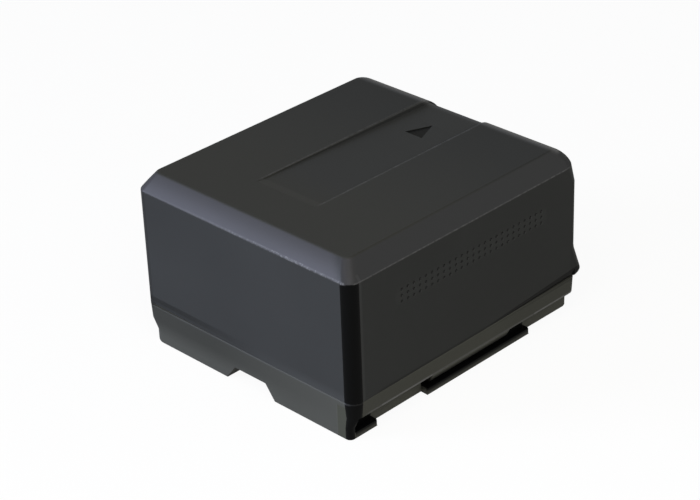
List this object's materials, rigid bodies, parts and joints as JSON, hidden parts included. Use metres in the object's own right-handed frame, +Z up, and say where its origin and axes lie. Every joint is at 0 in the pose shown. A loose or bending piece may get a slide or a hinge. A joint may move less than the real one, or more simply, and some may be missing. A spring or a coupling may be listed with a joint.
{
  "type": "camera battery",
  "caption": "Slide-on camera battery pack: bevelled upper case on a base with hook rails, holding round cells, a protection board and spring contacts.",
  "frame": {"origin": "middle of the pack's bounding box, on the plane of its underside", "axes": "+X across the pack to the right of someone sliding it on, +Y the way it slides on, +Z up from the hook rails to the bevelled top"},
  "size_m": [0.04, 0.0458, 0.0257],
  "materials": {
    "upper_plastic": "fine moulded satin, near black",
    "base_plastic": "fine moulded matt, near black",
    "label_film": "plain film",
    "can_steel": "nickel-plated",
    "sleeve_film": "shrunk film",
    "washer_card": "card",
    "nickel": "bare strip",
    "insulating_card": "card",
    "foam": "closed-cell foam",
    "board_laminate": "solder resist",
    "block_plastic": "moulded",
    "contact_metal": "gold-plated",
    "chip_resin": "moulded resin",
    "resistor_body": "glazed",
    "capacitor_ceramic": "fired",
    "fuse_body": "moulded"
  },
  "bodies": {
    "root": {"upper_case": "upper_plastic", "base_case": "base_plastic", "bottom_label": "label_film", "left_cell": "can_steel", "right_cell": "can_steel", "left_cell_sleeve": "sleeve_film", "right_cell_sleeve": "sleeve_film", "left_cell_washer": "washer_card", "right_cell_washer": "washer_card", "series_link": "nickel", "negative_tab": "nickel", "positive_tab": "nickel", "front_end_sheet": "insulating_card", "rear_end_sheet": "insulating_card", "board_sheet": "insulating_card", "front_roof_pad": "foam", "rear_roof_pad": "foam", "circuit_board": "board_laminate", "terminal_block": "block_plastic", "positive_contact": "contact_metal", "data_contact": "contact_metal", "temperature_contact": "contact_metal", "negative_contact": "contact_metal", "protection_chip": "chip_resin", "switch_transistor": "chip_resin", "identity_resistor": "resistor_body", "sense_resistor": "resistor_body", "filter_capacitor": "capacitor_ceramic", "thermistor": "capacitor_ceramic", "resettable_fuse": "fuse_body"}
  },
  "joints": []
}
